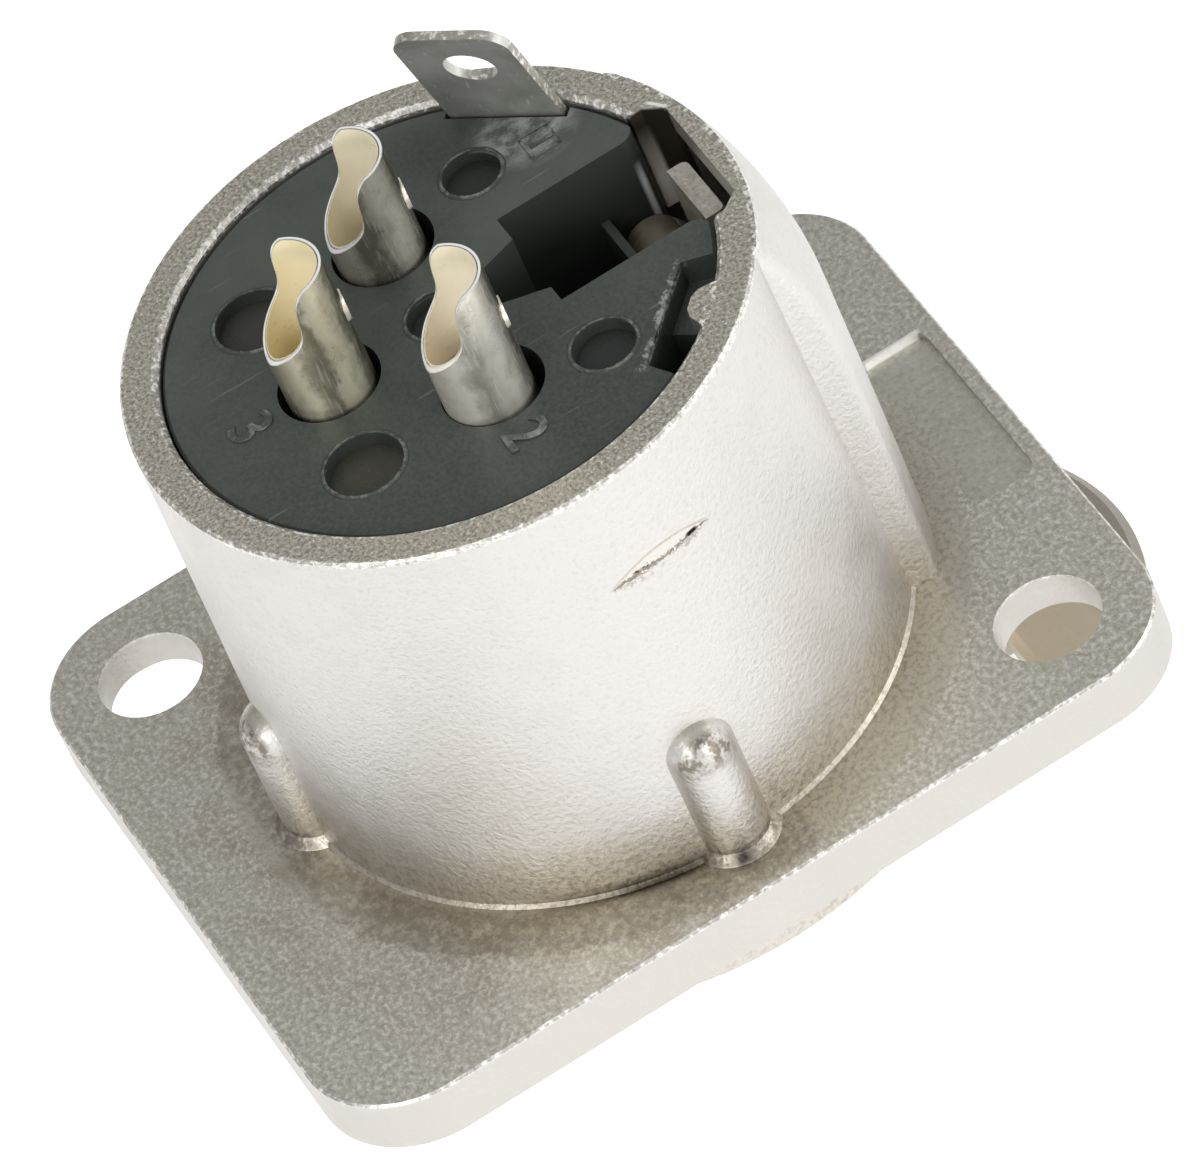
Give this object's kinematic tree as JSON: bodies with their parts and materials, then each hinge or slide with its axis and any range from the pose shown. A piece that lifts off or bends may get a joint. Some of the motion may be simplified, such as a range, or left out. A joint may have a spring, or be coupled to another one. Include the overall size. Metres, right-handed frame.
{
  "type": "xlr panel socket",
  "caption": "Round-barrel audio panel socket with a rectangular two-hole flange, solder cups, ground tab and a push-tab latch.",
  "frame": {"origin": "centre of the two-hole fixing pattern on the barrel axis, in the flange's back face", "axes": "+Z along the barrel axis to the solder cups, +Y to the latch, +X completes the right hand"},
  "size_m": [0.026, 0.0331, 0.0296],
  "materials": {
    "cast_metal": "fine blasted die-cast surface with a pale satin plating",
    "black_plastic": "matt black moulding",
    "contact_metal": "plated copper alloy, turned",
    "tab_metal": "tinned sheet metal",
    "lever_metal": "satin plated casting",
    "spring_metal": "bare spring strip"
  },
  "bodies": {
    "socket": {"shell": "cast_metal", "insert": "black_plastic", "insert_nose": "black_plastic", "contact_1": "contact_metal", "contact_2": "contact_metal", "contact_3": "contact_metal", "ground_tab": "tab_metal", "latch_spring": "spring_metal"},
    "lever": {"latch_lever": "lever_metal"}
  },
  "joints": [
    {"name": "latch_pivot", "type": "hinge", "parent": "socket", "child": "lever", "pos_m": [0, 0.0097, 0.01], "axis": [1, 0, 0], "range_deg": [0, 4], "stiffness_Nm_per_rad": 0.08, "springref_deg": -5.73}
  ]
}
